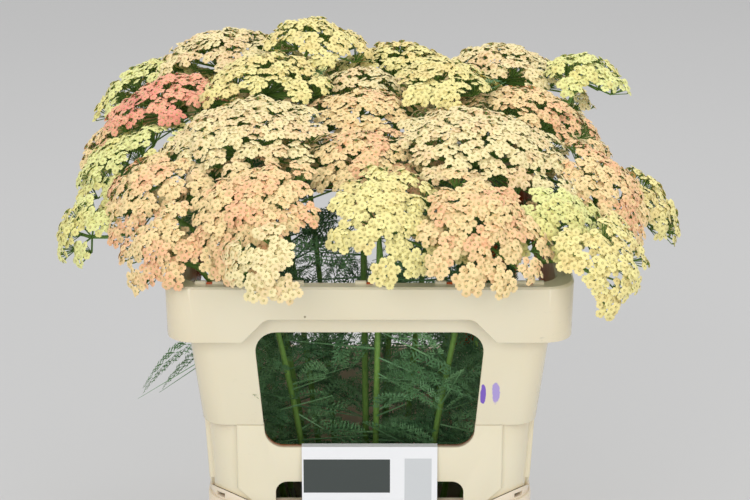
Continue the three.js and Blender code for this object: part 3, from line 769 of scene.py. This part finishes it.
def head_of(name, x, y, over, radius, colour):
    """A head's place, and the way it faces: low heads lean out, and high ones face up."""
    lean = math.radians(max(4, 76 - 0.62 * over))
    out = Vector((x, y - 10, 0)).normalized()
    axis = UP * math.cos(lean) + out * math.sin(lean)
    centre = Vector((x, y, RIM_Z + over))
    hub = centre - axis * (core_underside(radius) + 8 + 0.1 * radius)
    return {"name": name, "centre": centre, "axis": axis, "radius": radius, "colour": colour, "hub": hub}


def across(axis):
    """Two directions square to an axis."""
    start = Vector((1, 0, 0)) if abs(axis.z) > 0.95 else UP
    side = start.cross(axis).normalized()
    return side, axis.cross(side)


def dome_places(head, spacing):
    """Places over a head's dome, in the turns of a sunflower's spiral, each with its outward direction."""
    u, v = across(head["axis"])
    reach = head["radius"] - 4.83
    count = max(4, math.floor((1.75 * reach / spacing) ** 2 + 0.5))
    places = []
    for i in range(count):
        share = math.sqrt((i + 0.5) / count)
        away = u * math.cos(i * GOLDEN) + v * math.sin(i * GOLDEN)
        drop_by = DOME_RISE * head["radius"] * share * share
        spot = head["centre"] + away * (share * reach) - head["axis"] * drop_by
        places.append((spot, (head["axis"] + away * (1.3 * DOME_RISE * share)).normalized()))
    return places


def ray_floret():
    """One small flower: five broad notched rays round a low disc, over a green cup. It is 8 mm across."""
    bpy.ops.mesh.primitive_circle_add(vertices=7, radius=1, fill_type="TRIFAN", rotation=(0, 0, -math.pi / 2))
    ray = taken("ray")
    bpy.ops.object.transform_apply(rotation=True)
    edit(ray)
    stretch(1.75 * MM, 1.75 * MM, 1)
    slide(2.4 * MM, 0, 0)
    leave()
    spots = points_of(ray) / MM
    for vertex, (x, y, _) in zip(ray.data.vertices, spots):
        if x > 3.9:
            vertex.co.x -= 0.5 * MM
        if x < 1.2:
            vertex.co.y *= 0.6
        vertex.co.z = (0.5 * x - 0.15 * x * x - 0.16 * y * y) * MM
    mark(ray, "along", [min(1.0, 0.3 + 0.17 * x) for x, _, _ in spots])
    pieces = [ray]
    for turn in range(1, 5):
        pieces.append(copy_of(ray, Matrix.Rotation(turn * math.tau / 5, 4, "Z")))
    bpy.ops.mesh.primitive_cone_add(vertices=5, radius1=0.85 * MM, depth=0.6 * MM, end_fill_type="NOTHING",
                                    location=(0, 0, 0.65 * MM))
    disc = taken("disc")
    bpy.ops.object.transform_apply(location=True)
    mark(disc, "along", 0.1)
    bpy.ops.mesh.primitive_cone_add(vertices=4, radius1=0.4 * MM, radius2=1.3 * MM, depth=3.2 * MM,
                                    end_fill_type="NOTHING", location=(0, 0, -1.5 * MM))
    cup = taken("cup")
    bpy.ops.object.transform_apply(location=True)
    mark(cup, "along", -1.0)
    floret = joined([*pieces, disc, cup], "floret")
    smooth(floret, 60)
    return floret


def turned_to(spot, normal, turn, size):
    """A matrix that takes a flower, drawn upright at the origin, to its place on a head."""
    u, v = across(normal)
    across_u = u * math.cos(turn) + v * math.sin(turn)
    across_v = normal.cross(across_u)
    basis = Matrix((across_u, across_v, normal)).transposed().to_4x4()
    return Matrix.Translation(spot * MM) @ basis @ Matrix.Scale(size, 4)


def stalk_between(first, last, thick):
    """A matrix that takes the upright unit stalk to run from one spot to another."""
    along = last - first
    u, v = across(along.normalized())
    basis = Matrix((u * thick, v * thick, along)).transposed().to_4x4()
    return Matrix.Translation(first * MM) @ basis @ Matrix.Scale(MM, 4)


CLUSTER_SPACING = 17
CLUSTER_RADIUS = 10.4
CLUSTER_FLORETS = 15
CLUSTER_KINDS = 7
FORK_BELOW = 15


def flower_clusters(floret, stalk, chance):
    """A few upright clusters to copy: the florets of each, and the stalks that carry them from one fork."""
    kinds = []
    for _ in range(CLUSTER_KINDS):
        flowers = []
        stalks = []
        for i in range(CLUSTER_FLORETS):
            share = math.sqrt((i + 0.35) / CLUSTER_FLORETS)
            away = Vector((math.cos(i * GOLDEN), math.sin(i * GOLDEN), 0))
            place = away * (share * CLUSTER_RADIUS) + UP * (chance.uniform(-2.2, 1.6) - 2.6 * share * share)
            sway = Vector((chance.uniform(-0.45, 0.45), chance.uniform(-0.45, 0.45), 0))
            lean = (UP + away * (0.4 * share) + sway).normalized()
            size = chance.uniform(0.82, 1.0)
            flower = copy_of(floret, turned_to(place, lean, chance.uniform(0, math.tau), size))
            mark(flower, "tint", chance.uniform(-0.3, 0.3))
            flowers.append(flower)
            stalks.append(copy_of(stalk, stalk_between(UP * -FORK_BELOW, place - lean * 2.6, 0.34)))
        kinds.append((joined(flowers, "cluster_flowers"), joined(stalks, "cluster_stalks")))
    return kinds


FILL_REACHES = (1.1, 1.3, 1.5)
FILL_TRIES = 12
FILL_APART = 15
FILL_OVER_RIM = 16
FILL_EDGE = 12


def is_before_gap(spot):
    """Over the front rim, a little left of the middle, the stems and leaves show between the flowers."""
    return abs(spot.x + 36) < 30 and spot.y < -120 and spot.z < RIM_Z + 70


def filling_places(heads):
    """Places for side clusters, round and under each dome, where no other flowers stand and there is room."""
    taken_up = [spot for head in heads.values() for spot, _ in dome_places(head, CLUSTER_SPACING)]
    low, high = (np.array(corner) / MM for corner in cad_box)
    for head in heads.values():
        head["side"] = []
        u, v = across(head["axis"])
        for reach in FILL_REACHES:
            for i in range(FILL_TRIES):
                angle = (i + reach) * math.tau / FILL_TRIES
                away = u * math.cos(angle) + v * math.sin(angle)
                spot = head["centre"] + away * (reach * head["radius"])
                spot -= head["axis"] * (DOME_RISE * head["radius"] * reach * reach * 0.9)
                is_low = spot.z < RIM_Z + FILL_OVER_RIM
                is_out = any(spot[k] < low[k] + FILL_EDGE or spot[k] > high[k] - FILL_EDGE for k in range(3))
                if is_low or is_out or is_before_gap(spot):
                    continue
                if min((spot - other).length for other in taken_up) > FILL_APART:
                    taken_up.append(spot)
                    head["side"].append((spot, (head["axis"] + away * 0.8).normalized()))


def flower_head(head, clusters, stalk, material, chance):
    """A corymb: rounded clusters of florets over a dome, and a few beside it. Gives the stalks under them."""
    flowers = []
    stalks = []
    dome = dome_places(head, CLUSTER_SPACING)
    places = [(spot, normal, chance.uniform(-1.8, 1.4)) for spot, normal in dome]
    places += [(spot, normal, 0) for spot, normal in head["side"]]
    for spot, normal, rise in places:
        tint = chance.uniform(0.1, 0.9)
        petals, green = chance.choice(clusters)
        turn = chance.uniform(0, math.tau)
        matrix = turned_to(spot + normal * rise, normal, turn, chance.uniform(0.92, 1.06))
        flower = copy_of(petals, matrix)
        layer = flower.data.attributes["tint"].data
        values = np.empty(len(layer), dtype=np.float32)
        layer.foreach_get("value", values)
        mark(flower, "tint", np.clip(values + tint, 0, 1))
        flowers.append(flower)
        stalks.append(copy_of(green, matrix))
        fork = matrix @ (UP * -FORK_BELOW * MM) / MM
        stalks.append(copy_of(stalk, stalk_between(head["hub"], fork, 0.75)))
    piece = joined(flowers, "flowers_" + head["name"])
    dressed(piece, material, "petal_" + head["colour"], "head_" + head["name"])
    return joined(stalks, "stalks")


# Stems and leaves

STEM_SPREAD = 0.42
FOOT_SPREAD = 0.36
PASS_HALF = 124
LEAF_LENGTH = 78
LEAF_HALF = 14
LEAF_PAIRS = 4
LEAF_CLEAR = 6


def clamp(value, bound):
    return max(-bound, min(bound, value))


def stem_stations(head):
    """The stem's route, as in the part's source: foot, water's surface, middle, past the rim, hub, top."""
    centre, hub = head["centre"], head["hub"]
    foot = Vector((FOOT_SPREAD * centre.x, FOOT_SPREAD * centre.y, FLOOR_Z + GAP))
    spread = STEM_SPREAD * (1 - FOOT_SPREAD) * WATER_DEPTH / RIM_Z
    leaving = Vector((foot.x + spread * centre.x, foot.y + spread * centre.y, WATER_DEPTH + 12))
    share = (RIM_Z + 5 - leaving.z) / (hub.z - leaving.z)
    past = leaving.lerp(hub, share)
    past.x = clamp(past.x, PASS_HALF)
    past.y = clamp(past.y, PASS_HALF + FAR)
    middle = leaving.lerp(past, 0.5)
    middle.x -= 0.06 * (past.x - leaving.x)
    middle.y -= 0.06 * (past.y - leaving.y)
    top = head["centre"] - head["axis"] * (core_underside(head["radius"]) + GAP)
    return [foot, leaving, middle, past, hub, top]


def run_point(stations, share):
    """A spot on the part of the route that leaves may grow from."""
    run = stations[1:5]
    lengths = [(b - a).length for a, b in zip(run, run[1:])]
    left = share * sum(lengths)
    for start, end, length in zip(run, run[1:], lengths):
        if left <= length or end is run[-1]:
            return start.lerp(end, min(1.0, left / length))
        left -= length


def fork_route(stations, fork):
    start = stations[3]
    bend = start.lerp(fork["hub"], 0.45)
    is_outside = abs(fork["hub"].x) > BODY_HALF or abs(fork["hub"].y) > BODY_HALF + FAR
    bend.z = max(bend.z, RIM_Z + 12) if is_outside else bend.z + 4
    top = fork["centre"] - fork["axis"] * (core_underside(fork["radius"]) + GAP)
    return [start, bend, fork["hub"], top]


def rod(route, radii, straight=0):
    """A stem drawn as a curve through its stations and made a mesh."""
    bpy.ops.curve.primitive_bezier_curve_add()
    piece = taken("rod")
    curve = piece.data
    spline = curve.splines[0]
    spline.bezier_points.add(len(route) - 2)
    for i, (point, spot, radius) in enumerate(zip(spline.bezier_points, route, radii)):
        point.handle_left_type = point.handle_right_type = "VECTOR" if i < straight else "AUTO"
        point.co = spot * MM
        point.radius = radius
        point.select_control_point = True
    curve.resolution_u = 5
    curve.bevel_depth = MM
    curve.bevel_resolution = 2
    curve.use_fill_caps = True
    bpy.ops.object.convert(target="MESH")
    return taken("rod")


def feather():
    """One leaflet of a yarrow leaf: a fine rib with short thread-like lobes on both sides. It is 1 long."""
    bpy.ops.mesh.primitive_plane_add(size=math.sqrt(0.5))
    blade = taken("blade")
    edit(blade)
    bpy.ops.transform.rotate(value=math.pi / 4, orient_axis="Z", center_override=(0, 0, 0))
    slide(0.5, 0, 0)
    leave()
    lobes = [copy_of(blade, Matrix.Diagonal((1, 0.1, 1, 1)))]
    for i in range(3):
        along = 0.2 + 0.24 * i
        size = 0.46 - 0.07 * i
        for side in (-1, 1):
            turn = Matrix.Rotation(side * math.radians(52), 4, "Z")
            place = Matrix.Translation((along, 0, 0)) @ (turn @ Matrix.Rotation(math.radians(-20), 4, "Y"))
            lobes.append(copy_of(blade, place @ Matrix.Diagonal((size, 0.11, 1, 1))))
    drop(blade)
    return joined(lobes, "feather")


LEAFLETS = 13


def leaf_template():
    """A whole leaf, flat and straight along X, with its leaflets turned a little out of its plane."""
    leaflet = feather()
    pieces = []
    for i in range(LEAFLETS):
        share = (i + 1) / (LEAFLETS + 1)
        size = LEAF_HALF * 1.15 * math.sin(math.pi * (0.14 + 0.78 * share)) * MM
        for side in (-1, 1):
            swing = Matrix.Rotation(side * math.radians(64 - 14 * share), 4, "Z")
            roll = Matrix.Rotation(side * math.radians(28 if i % 2 else -22), 4, "X")
            spot = Matrix.Translation((LEAF_LENGTH * (0.1 + 0.86 * share) * MM, 0, 0))
            pieces.append(copy_of(leaflet, spot @ swing @ roll @ Matrix.Scale(size, 4)))
    bpy.ops.mesh.primitive_cone_add(vertices=4, radius1=0.95 * MM, radius2=0.25 * MM, depth=LEAF_LENGTH * MM)
    rib = taken("rib")
    middle = Matrix.Translation((LEAF_LENGTH / 2 * MM, 0, 0))
    rib.data.transform(middle @ Matrix.Rotation(math.pi / 2, 4, "Y"))
    drop(leaflet)
    return joined([rib, *pieces], "leaf")


def grown_leaf(template, plan, tint):
    """A copy of the leaf, set on its stem and bent down under its own weight."""
    leaf = copy_of(template)
    spots = points_of(leaf)
    side = UP.cross(plan["dir"]).normalized()
    side = Matrix.Rotation(plan["roll"], 3, plan["dir"]) @ side
    normal = plan["dir"].cross(side)
    size = plan["length"] / LEAF_LENGTH
    basis = np.array([plan["dir"], side, normal])
    share = spots[:, 0:1] / (LEAF_LENGTH * MM)
    placed = np.array(plan["root"]) * MM + (spots * size) @ basis
    placed[:, 2:3] -= plan["droop"] * plan["length"] * MM * share ** 2
    placed += plan["curl"] * plan["length"] * MM * share ** 2 * np.array(side)
    leaf.data.vertices.foreach_set("co", placed.astype(np.float32).ravel())
    mark(leaf, "blade", 1.0)
    mark(leaf, "tint", tint)
    return leaf


class Room:
    """What room the plant has taken, as balls with an owner, and what is left inside the container."""

    def __init__(self):
        self.owners = []
        self.balls = []

    def take(self, owner, spot, radius):
        self.owners.append(owner)
        self.balls.append((*spot, radius))

    def is_clear(self, owner, spot, radius):
        balls = np.array(self.balls)
        away = np.linalg.norm(balls[:, :3] - np.array(spot), axis=1)
        others = np.array([name != owner for name in self.owners])
        return not np.any(others & (away <= balls[:, 3] + radius))


def tub_half(z):
    share = (z - FLOOR_Z) / (TUB_HEIGHT + 5 - FLOOR_Z)
    return TUB_BASE_HALF - WALL + (TUB_INNER_HALF + 0.2 - TUB_BASE_HALF + WALL) * share


def is_inside(spot, radius):
    depth = RIM_Z - spot.z
    if depth < -radius:
        return True
    half = BODY_HALF if depth < BAND_DEPTH else outer_half(min(depth, COLLAR_HEIGHT))
    bound = tub_half(spot.z) - 3 if spot.z < TUB_HEIGHT else half - WALL - 4
    return abs(spot.x) + radius < bound and abs(spot.y) + radius < bound + FAR


def leaf_balls(plan):
    side = UP.cross(plan["dir"]).normalized()
    stretches = LEAF_PAIRS + 2
    spots = []
    for i in range(1, stretches):
        share = i / stretches
        fall = plan["droop"] * plan["length"] * share ** 2
        spine = plan["root"] + plan["dir"] * (plan["length"] * share) - UP * fall
        spots.extend(spine + side * (sign * 0.6 * LEAF_HALF) for sign in (-1, 0, 1))
    return spots


class Draws:
    """The same small generator as in the part's source, so that its leaves grow in the same places."""

    def __init__(self, seed):
        self.state = seed

    def __call__(self):
        self.state = (self.state * 1664525 + 1013904223) % 4294967296
        return self.state / 4294967296


def source_leaf(room, owner, stations, low, high, draw):
    """A leaf of the part's source, or None where it found no room."""
    for _ in range(60):
        root = run_point(stations, low + (high - low) * draw())
        angle = math.tau * draw()
        way = Vector((math.cos(angle), math.sin(angle), 0.35 + 0.5 * draw())).normalized()
        plan = {"root": root, "dir": way, "droop": 0.25 + 0.3 * draw(),
                "length": LEAF_LENGTH * (0.75 + 0.35 * draw()), "curl": 0.0, "roll": 0.0}
        if all(is_inside(s, LEAF_CLEAR) and room.is_clear(owner, s, LEAF_CLEAR) for s in leaf_balls(plan)):
            for spot in leaf_balls(plan):
                room.take(owner, spot, LEAF_CLEAR)
            return plan
    return None


HANGING = {
    "left_peach": {"z": 300, "dir": (-1, 0.3, 0.3), "droop": 0.95, "length": 84},
    "left_green": {"z": 275, "dir": (-1, -0.25, 0.1), "droop": 0.7, "length": 62},
}


def hanging_leaf(room, owner, stations, values):
    share = 0.0
    while run_point(stations, share).z < values["z"]:
        share += 0.01
    plan = {"root": run_point(stations, share), "dir": Vector(values["dir"]).normalized(),
            "droop": values["droop"], "length": values["length"], "curl": 0.0, "roll": 0.9}
    for spot in leaf_balls(plan):
        room.take(owner, spot, LEAF_CLEAR)
    return plan


EXTRA_LEAVES = 16
FLOWERS_FRONT = -135
FLOWERS_LOW = RIM_Z + 14


def extra_leaves(stations, chance):
    """More leaves than the source holds: most of them in the windows, some above the rim."""
    plans = []
    for i in range(EXTRA_LEAVES * 4):
        is_high = i % 4 == 3
        share = chance.uniform(0.72, 0.97) if is_high else chance.uniform(0.2, 0.72)
        root = run_point(stations, share)
        angle = chance.uniform(0, math.tau)
        steep = chance.uniform(-0.2, 1.5)
        way = Vector((math.cos(angle), math.sin(angle), steep)).normalized()
        plan = {"root": root, "dir": way, "droop": chance.uniform(0.1, 0.6),
                "length": LEAF_LENGTH * chance.uniform(0.6, 1.15), "curl": chance.uniform(-0.3, 0.3),
                "roll": chance.uniform(-0.9, 0.9)}
        spots = leaf_balls(plan)
        is_before_flowers = any(spot.y < FLOWERS_FRONT and spot.z > FLOWERS_LOW for spot in spots)
        if all(is_inside(spot, 1.5) for spot in spots) and not is_before_flowers:
            plans.append(plan)
        if len(plans) == EXTRA_LEAVES:
            break
    return plans


# How thick a stem and its fork are, and the room that stems and heads take up, all as in the part's source
STEM_RADII = (2.6, 2.6, 2.4, 2.1, 1.7, 1.3)
FORK_RADII = (1.7, 1.6, 1.4, 1.2)
ROOM_STEPS = 40
STEM_ROOM = 2.6
HEAD_ROOM = 13.8
HEAD_ROOM_SPACING = 26.3
LEAF_SEED = 11
LOOKS_SEED = 5


def petals_by_colour():
    """Each flower colour with its blush, and the deeper tone near the petals' roots."""
    return {
        "cream": petal("petal_cream", "#faeab2", "#f6d6a4", "#d8cc78"),
        "lemon": petal("petal_lemon", "#f8eda2", "#f4df98", "#cfc862"),
        "peach": petal("petal_peach", "#fbdfa4", "#f9c294", "#dfba70"),
        "salmon": petal("petal_salmon", "#fdb794", "#f69c86", "#df8f68"),
        "green": petal("petal_green", "#eeefa0", "#efe390", "#b8c65c"),
    }


def unit_stalk():
    """An upright stalk 1 long and 1 in radius, to be stretched between two spots."""
    bpy.ops.mesh.primitive_cylinder_add(vertices=4, radius=1, depth=1, end_fill_type="NOTHING")
    stalk = taken("unit_stalk")
    stalk.data.transform(Matrix.Translation((0, 0, 0.5)))
    smooth(stalk, 100)
    return stalk


def planned_plants(heads):
    plants = []
    for number, (main, *fork) in enumerate(STEMS):
        name = "stem_%02d" % (number + 1)
        plants.append({"name": name, "head": heads[main], "fork": heads[fork[0]] if fork else None,
                       "stations": stem_stations(heads[main])})
    return plants


def room_of(plants):
    """The room that stems and heads take up before any leaf grows."""
    room = Room()
    for plant in plants:
        for i in range(ROOM_STEPS + 1):
            room.take(plant["name"], run_point(plant["stations"], i / ROOM_STEPS), STEM_ROOM)
        for head in filter(None, (plant["head"], plant["fork"])):
            for spot, _ in dome_places(head, HEAD_ROOM_SPACING):
                room.take(head["name"], spot, HEAD_ROOM)
    return room


def leaf_plans(number, plant, room, draw, chance):
    """Where the leaves of one stem grow: those of the source first, then the extra ones."""
    stations, owner, main = plant["stations"], plant["name"], plant["head"]["name"]
    plans = []
    if main in HANGING:
        plans.append(hanging_leaf(room, owner, stations, HANGING[main]))
    stretches = [(0.3, 0.85)] if number % 3 == 2 else [(0.08, 0.5), (0.5, 0.9)]
    plans += [source_leaf(room, owner, stations, low, high, draw) for low, high in stretches]
    plans += extra_leaves(stations, chance)
    return [plan for plan in plans if plan]


def plant_everything():
    """Grows every stem with its leaves and stalks, and every head of flowers."""
    heads = {row[0]: head_of(*row) for row in HEADS}
    petals = petals_by_colour()
    green = greenery()
    floret = ray_floret()
    template = leaf_template()
    stalk = unit_stalk()
    chance = random.Random(LOOKS_SEED)
    clusters = flower_clusters(floret, stalk, chance)
    filling_places(heads)
    plants = planned_plants(heads)
    room = room_of(plants)
    draw = Draws(LEAF_SEED)
    for number, plant in enumerate(plants):
        stations, fork = plant["stations"], plant["fork"]
        pieces = [rod(stations, STEM_RADII, straight=2)]
        if fork:
            pieces.append(rod(fork_route(stations, fork), FORK_RADII))
        plans = leaf_plans(number, plant, room, draw, chance)
        pieces += [grown_leaf(template, plan, chance.uniform(0, 0.7)) for plan in plans]
        for head in filter(None, (plant["head"], fork)):
            pieces.append(flower_head(head, clusters, stalk, petals[head["colour"]], chance))
        whole = joined(pieces, "plant_%02d" % (number + 1))
        smooth(whole, 60)
        dressed(whole, green, "green_stem", plant["name"])
    drop(floret, template, stalk, *(piece for pair in clusters for piece in pair))


# The stage

# Soft lamps: name, place in metres, width in metres, watts
LAMPS = (
    ("key", (-1.1, -2.9, 1.7), 1.8, 30),
    ("fill", (1.7, -2.6, 1.3), 1.6, 17),
    ("top", (0.2, 0.5, 3.0), 2.2, 27),
)
LAMP_AIM = Vector((0, 0, 0.35))
SKY_STRENGTH = 0.74

# The camera, in metres: it looks down a little at the container's front, from near its middle line
CAMERA_PLACE = (0.00407, -1.8816, 0.9605)
CAMERA_TILT = math.radians(71.94)
CAMERA_LENS = 117.8
CAMERA_SENSOR = 36
CAMERA_REACH = 40


def stage():
    """The plain pale floor, soft lamps and sky, and the camera."""
    bpy.ops.mesh.primitive_plane_add(size=30)
    floor = taken("floor")
    material, tree, shader = finish_of("studio_floor", Roughness=0.9)
    drift = noise(tree, object_place(tree), 0.5)
    grey = ramp(tree, drift, [(0.2, "#cdcdcd"), (0.8, "#d1d1d1")])
    tree.links.new(grey, shader.inputs["Base Color"])
    floor.data.materials.append(material)
    world = bpy.data.worlds.new("studio")
    bpy.context.scene.world = world
    world.use_nodes = True
    sky = world.node_tree.nodes["Background"]
    sky.inputs["Color"].default_value = linear("#f1f1f1")
    sky.inputs["Strength"].default_value = SKY_STRENGTH
    for name, place, size, watts in LAMPS:
        bpy.ops.object.light_add(type="AREA", location=place)
        lamp = bpy.context.object
        lamp.name = name
        lamp.data.size = size
        lamp.data.energy = watts
        way = LAMP_AIM - Vector(place)
        lamp.rotation_euler = way.to_track_quat("-Z", "Y").to_euler()
    bpy.ops.object.camera_add(location=CAMERA_PLACE, rotation=(CAMERA_TILT, 0, 0))
    camera = bpy.context.object
    camera.data.lens = CAMERA_LENS
    camera.data.sensor_width = CAMERA_SENSOR
    camera.data.clip_end = CAMERA_REACH
    bpy.context.scene.camera = camera
    bpy.context.scene.view_settings.view_transform = "Standard"


def dress_container():
    """The collar and tub as moulded pieces, and materials for the card and the water of the frame."""
    *nodes, material = plastic("polypropylene_moulded_cream", "#ece3c8", "#e9dfc0")
    violet_marks(*nodes)
    collar(material)
    tub(plastic("polypropylene_moulded_blush", "#eee0c9", "#ead8be")[-1])
    for node, finish in (("label_card", card_stock()), ("water", still_water())):
        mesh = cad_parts[node].data
        mesh.materials.clear()
        mesh.materials.append(finish)


stage()
dress_container()
plant_everything()
